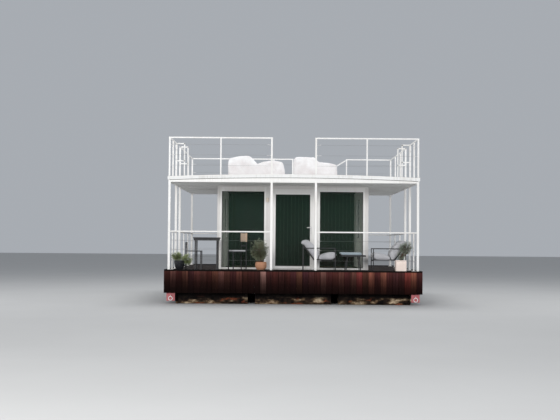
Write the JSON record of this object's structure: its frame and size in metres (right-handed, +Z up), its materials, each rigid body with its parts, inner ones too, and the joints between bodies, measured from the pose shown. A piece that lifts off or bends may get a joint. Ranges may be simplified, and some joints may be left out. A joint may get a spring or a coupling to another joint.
{
  "type": "pontoon houseboat",
  "caption": "Pontoon houseboat with a glazed cabin, one inward door, boarded skirt, white post frame and rails, and a crowned roof terrace reached by a stair.",
  "frame": {"origin": "middle of the plan, at the flat pontoon bottoms", "axes": "+X to the right seen from the bow, +Y aft, +Z up"},
  "size_m": [6.85, 7.15, 4.745],
  "materials": {
    "white_steel": "satin white paint",
    "white_wall": "matt off-white panel",
    "red_oxide": "worn red oxide primer",
    "pontoon_steel": "weathered, stained steel",
    "deck_wood": "oiled boards",
    "skirt_wood": "red-brown stained boards",
    "roof_skin": "white coated roof",
    "glass": "dark green tinted glazing",
    "handle_steel": "brushed",
    "lamp_metal": "satin bronze paint",
    "stair_steel": "light grey paint",
    "bag_fabric": "white outdoor cloth",
    "cushion_fabric": "grey woven cloth",
    "dark_metal": "black powder coat",
    "bowl_ceramic": "black glaze",
    "terracotta": "unglazed terracotta",
    "pale_ceramic": "pale pink matt"
  },
  "bodies": {
    "boat": {"pontoon_left": "pontoon_steel", "pontoon_middle": "pontoon_steel", "pontoon_right": "pontoon_steel", "platform_frame": "red_oxide", "deck": "deck_wood", "skirt_front": "skirt_wood", "skirt_right": "skirt_wood", "skirt_rear": "skirt_wood", "skirt_left": "skirt_wood", "portal_front": "white_steel", "portal_rear": "white_steel", "portal_left": "white_steel", "portal_right": "white_steel", "roof": "roof_skin", "wall_front": "white_wall", "wall_left": "white_wall", "wall_right": "white_wall", "wall_rear": "white_wall", "window_frame_front_left": "white_steel", "window_glass_front_left": "glass", "window_frame_front_right": "white_steel", "window_glass_front_right": "glass", "window_glass_left": "glass", "window_glass_right": "glass", "window_glass_rear": "glass", "door_frame": "white_steel", "wall_lamp": "lamp_metal", "deck_rail_front_left": "white_steel", "deck_rail_front_right": "white_steel", "deck_rail_left_front": "white_steel", "deck_rail_left_rear": "white_steel", "deck_rail_right_front": "white_steel", "deck_rail_right_rear": "white_steel", "deck_rail_rear_left": "white_steel", "deck_rail_rear_right": "white_steel", "roof_rail_front_left": "white_steel", "roof_rail_front_right": "white_steel", "roof_rail_rear_left": "white_steel", "roof_rail_rear_right": "white_steel", "roof_rail_left_front": "white_steel", "roof_rail_left_rear": "white_steel", "roof_rail_right_front": "white_steel", "roof_rail_right_rear": "white_steel", "stair": "stair_steel", "bean_bag_left": "bag_fabric", "bean_bag_right": "bag_fabric", "lounge_chair_left_frame": "dark_metal", "lounge_chair_left_cushion": "cushion_fabric", "lounge_chair_right_frame": "dark_metal", "lounge_chair_right_cushion": "cushion_fabric", "low_table": "dark_metal", "high_table": "dark_metal", "deck_chair_left": "dark_metal", "deck_chair_right": "dark_metal", "planter_left": "bowl_ceramic", "planter_middle": "terracotta", "planter_right": "pale_ceramic"},
    "door": {"door_leaf": "white_steel", "door_glass": "glass", "door_handle": "handle_steel"}
  },
  "joints": [
    {"name": "door_hinge", "type": "hinge", "parent": "boat", "child": "door", "pos_m": [-0.551, -1.66, 1.185], "axis": [0, 0, 1], "range_deg": [0, 100]}
  ]
}
